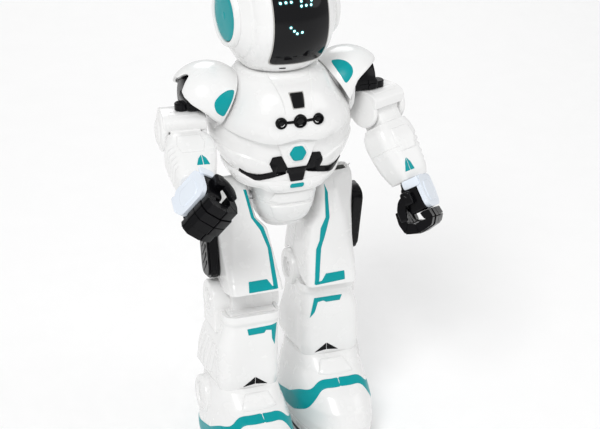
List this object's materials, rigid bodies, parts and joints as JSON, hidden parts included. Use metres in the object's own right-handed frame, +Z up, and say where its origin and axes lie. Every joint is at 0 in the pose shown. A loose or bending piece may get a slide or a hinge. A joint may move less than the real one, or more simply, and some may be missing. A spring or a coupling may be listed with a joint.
{
  "type": "walking humanoid robot toy",
  "caption": "Battery-driven walking humanoid robot toy with a round helmet head, dark display visor, posable arms, swinging legs and rounded boots.",
  "frame": {"origin": "on the floor, under the middle of the robot's bounding box", "axes": "+Z up from the soles, -Y is the way the robot faces, +X is the robot's own left"},
  "size_m": [0.1473, 0.1061, 0.265],
  "materials": {
    "white_shell": "moulded ABS, glossy",
    "teal_trim": "moulded ABS, teal",
    "black_trim": "moulded ABS, glossy black",
    "visor_black": "tinted polycarbonate, mirror gloss",
    "cuff_white": "moulded ABS, cool white",
    "inner_plastic": "moulded ABS, natural",
    "dark_plastic": "moulded ABS, dark grey",
    "circuit_board": "glass-epoxy board with solder mask",
    "battery_wrap": "shrink sleeve over cells",
    "steel": "turned steel",
    "rubber": "moulded rubber tread",
    "gear_plastic": "acetal"
  },
  "bodies": {
    "root": {"torso_front_shell": "white_shell", "torso_back_shell": "white_shell", "waist_belt": "black_trim", "sensor_window": "visor_black", "sensor_trim": "black_trim", "status_lens": "teal_trim", "pelvis_shell": "white_shell", "neck_collar": "black_trim", "right_shoulder_cap": "white_shell", "left_shoulder_cap": "white_shell", "main_board": "circuit_board", "speaker": "dark_plastic", "battery_pack": "battery_wrap", "battery_door": "white_shell", "case_screws": "steel", "gearbox_frame": "inner_plastic", "drive_motor": "steel", "hip_shaft": "steel"},
    "motor_pinion": {"motor_pinion": "gear_plastic"},
    "crank_gear": {"crank_gear": "gear_plastic"},
    "mode_button": {"mode_button": "teal_trim"},
    "power_switch": {"power_switch": "black_trim"},
    "head": {"head_front_shell": "white_shell", "head_back_shell": "white_shell", "visor": "visor_black", "led_board": "circuit_board", "head_base": "dark_plastic", "right_ear_disc": "teal_trim", "left_ear_disc": "teal_trim"},
    "right_upper_arm": {"right_upper_arm": "black_trim"},
    "right_elbow": {"right_elbow_cap": "white_shell"},
    "right_forearm": {"right_forearm": "white_shell"},
    "right_hand": {"right_palm": "black_trim", "right_cuff": "cuff_white", "right_fingers": "black_trim"},
    "left_upper_arm": {"left_upper_arm": "black_trim"},
    "left_elbow": {"left_elbow_cap": "white_shell"},
    "left_forearm": {"left_forearm": "white_shell"},
    "left_hand": {"left_palm": "black_trim", "left_cuff": "cuff_white", "left_fingers": "black_trim"},
    "right_thigh": {"right_thigh_frame": "inner_plastic", "right_thigh_front": "white_shell", "right_thigh_rear": "white_shell", "right_thigh_pod": "black_trim"},
    "right_shin": {"right_shin": "white_shell", "right_foot": "white_shell", "right_sole": "dark_plastic"},
    "right_front_roller": {"right_front_roller": "rubber"},
    "right_rear_roller": {"right_rear_roller": "rubber"},
    "left_thigh": {"left_thigh_frame": "inner_plastic", "left_thigh_front": "white_shell", "left_thigh_rear": "white_shell", "left_thigh_pod": "black_trim"},
    "left_shin": {"left_shin": "white_shell", "left_foot": "white_shell", "left_sole": "dark_plastic"},
    "left_front_roller": {"left_front_roller": "rubber"},
    "left_rear_roller": {"left_rear_roller": "rubber"}
  },
  "joints": [
    {"name": "head_turn", "type": "hinge", "parent": "root", "child": "head", "pos_m": [-0.0046, 0.0211, 0.233], "axis": [0, 0, 1], "range_deg": [-50, 40]},
    {"name": "mode_press", "type": "slide", "parent": "root", "child": "mode_button", "axis": [0, 1, 0], "range_m": [0, 0.0012], "stiffness_N_per_m": 400},
    {"name": "power_slide", "type": "slide", "parent": "root", "child": "power_switch", "axis": [1, 0, 0], "range_m": [0, 0.003]},
    {"name": "crank_spin", "type": "hinge", "parent": "root", "child": "crank_gear", "pos_m": [-0.0046, 0.0171, 0.138], "axis": [1, 0, 0], "continuous": true},
    {"name": "pinion_spin", "type": "hinge", "parent": "root", "child": "motor_pinion", "pos_m": [-0.0046, 0.0171, 0.1482], "axis": [1, 0, 0], "continuous": true},
    {"name": "right_shoulder_swing", "type": "hinge", "parent": "root", "child": "right_upper_arm", "pos_m": [-0.0456, 0.0201, 0.193], "axis": [1, 0, 0], "range_deg": [-30, 14]},
    {"name": "right_arm_twist", "type": "hinge", "parent": "right_upper_arm", "child": "right_elbow", "pos_m": [-0.0556, 0.0146, 0.1785], "axis": [0, 0, 1], "range_deg": [-22, 4]},
    {"name": "right_elbow_bend", "type": "hinge", "parent": "right_elbow", "child": "right_forearm", "pos_m": [-0.0556, 0.0146, 0.1785], "axis": [0.9945, -0.1045, 0], "range_deg": [-10, 24]},
    {"name": "right_wrist_turn", "type": "hinge", "parent": "right_forearm", "child": "right_hand", "pos_m": [-0.05963, -0.02372, 0.16448], "axis": [-0.0982, -0.9345, -0.342], "range_deg": [-45, 80]},
    {"name": "left_shoulder_swing", "type": "hinge", "parent": "root", "child": "left_upper_arm", "pos_m": [0.0364, 0.0201, 0.193], "axis": [1, 0, 0], "range_deg": [-30, 14]},
    {"name": "left_arm_twist", "type": "hinge", "parent": "left_upper_arm", "child": "left_elbow", "pos_m": [0.0464, 0.0146, 0.1785], "axis": [0, 0, 1], "range_deg": [-36, 4]},
    {"name": "left_elbow_bend", "type": "hinge", "parent": "left_elbow", "child": "left_forearm", "pos_m": [0.0464, 0.0146, 0.1785], "axis": [0.9063, 0.4226, 0], "range_deg": [-45, 8]},
    {"name": "left_wrist_turn", "type": "hinge", "parent": "left_forearm", "child": "left_hand", "pos_m": [0.05634, -0.00671, 0.14491], "axis": [0.2424, -0.5198, -0.8192], "range_deg": [-80, 45]},
    {"name": "right_hip_swing", "type": "hinge", "parent": "root", "child": "right_thigh", "pos_m": [-0.0046, 0.0171, 0.138], "axis": [1, 0, 0], "range_deg": [0, 26]},
    {"name": "left_hip_swing", "type": "hinge", "parent": "root", "child": "left_thigh", "pos_m": [-0.0046, 0.0171, 0.138], "axis": [1, 0, 0], "range_deg": [-26, 0]},
    {"name": "right_knee_bend", "type": "hinge", "parent": "right_thigh", "child": "right_shin", "pos_m": [-0.0046, 0.00585, 0.08928], "axis": [1, 0, 0], "range_deg": [-26, 0]},
    {"name": "right_front_roller_spin", "type": "hinge", "parent": "right_shin", "child": "right_front_roller", "pos_m": [-0.0046, -0.02215, 0.004], "axis": [1, 0, 0], "continuous": true},
    {"name": "right_rear_roller_spin", "type": "hinge", "parent": "right_shin", "child": "right_rear_roller", "pos_m": [-0.0046, 0.01585, 0.004], "axis": [1, 0, 0], "continuous": true},
    {"name": "left_knee_bend", "type": "hinge", "parent": "left_thigh", "child": "left_shin", "pos_m": [-0.0046, 0.02835, 0.08928], "axis": [1, 0, 0], "range_deg": [-1, 26]},
    {"name": "left_front_roller_spin", "type": "hinge", "parent": "left_shin", "child": "left_front_roller", "pos_m": [-0.0046, 0.00035, 0.004], "axis": [1, 0, 0], "continuous": true},
    {"name": "left_rear_roller_spin", "type": "hinge", "parent": "left_shin", "child": "left_rear_roller", "pos_m": [-0.0046, 0.03835, 0.004], "axis": [1, 0, 0], "continuous": true}
  ],
  "couplings": [
    {"joint": "pinion_spin", "follows": "crank_spin", "ratio": -2.4},
    {"joint": "left_hip_swing", "follows": "right_hip_swing", "ratio": -1},
    {"joint": "right_knee_bend", "follows": "right_hip_swing", "ratio": -1},
    {"joint": "left_knee_bend", "follows": "right_hip_swing", "ratio": 1}
  ]
}
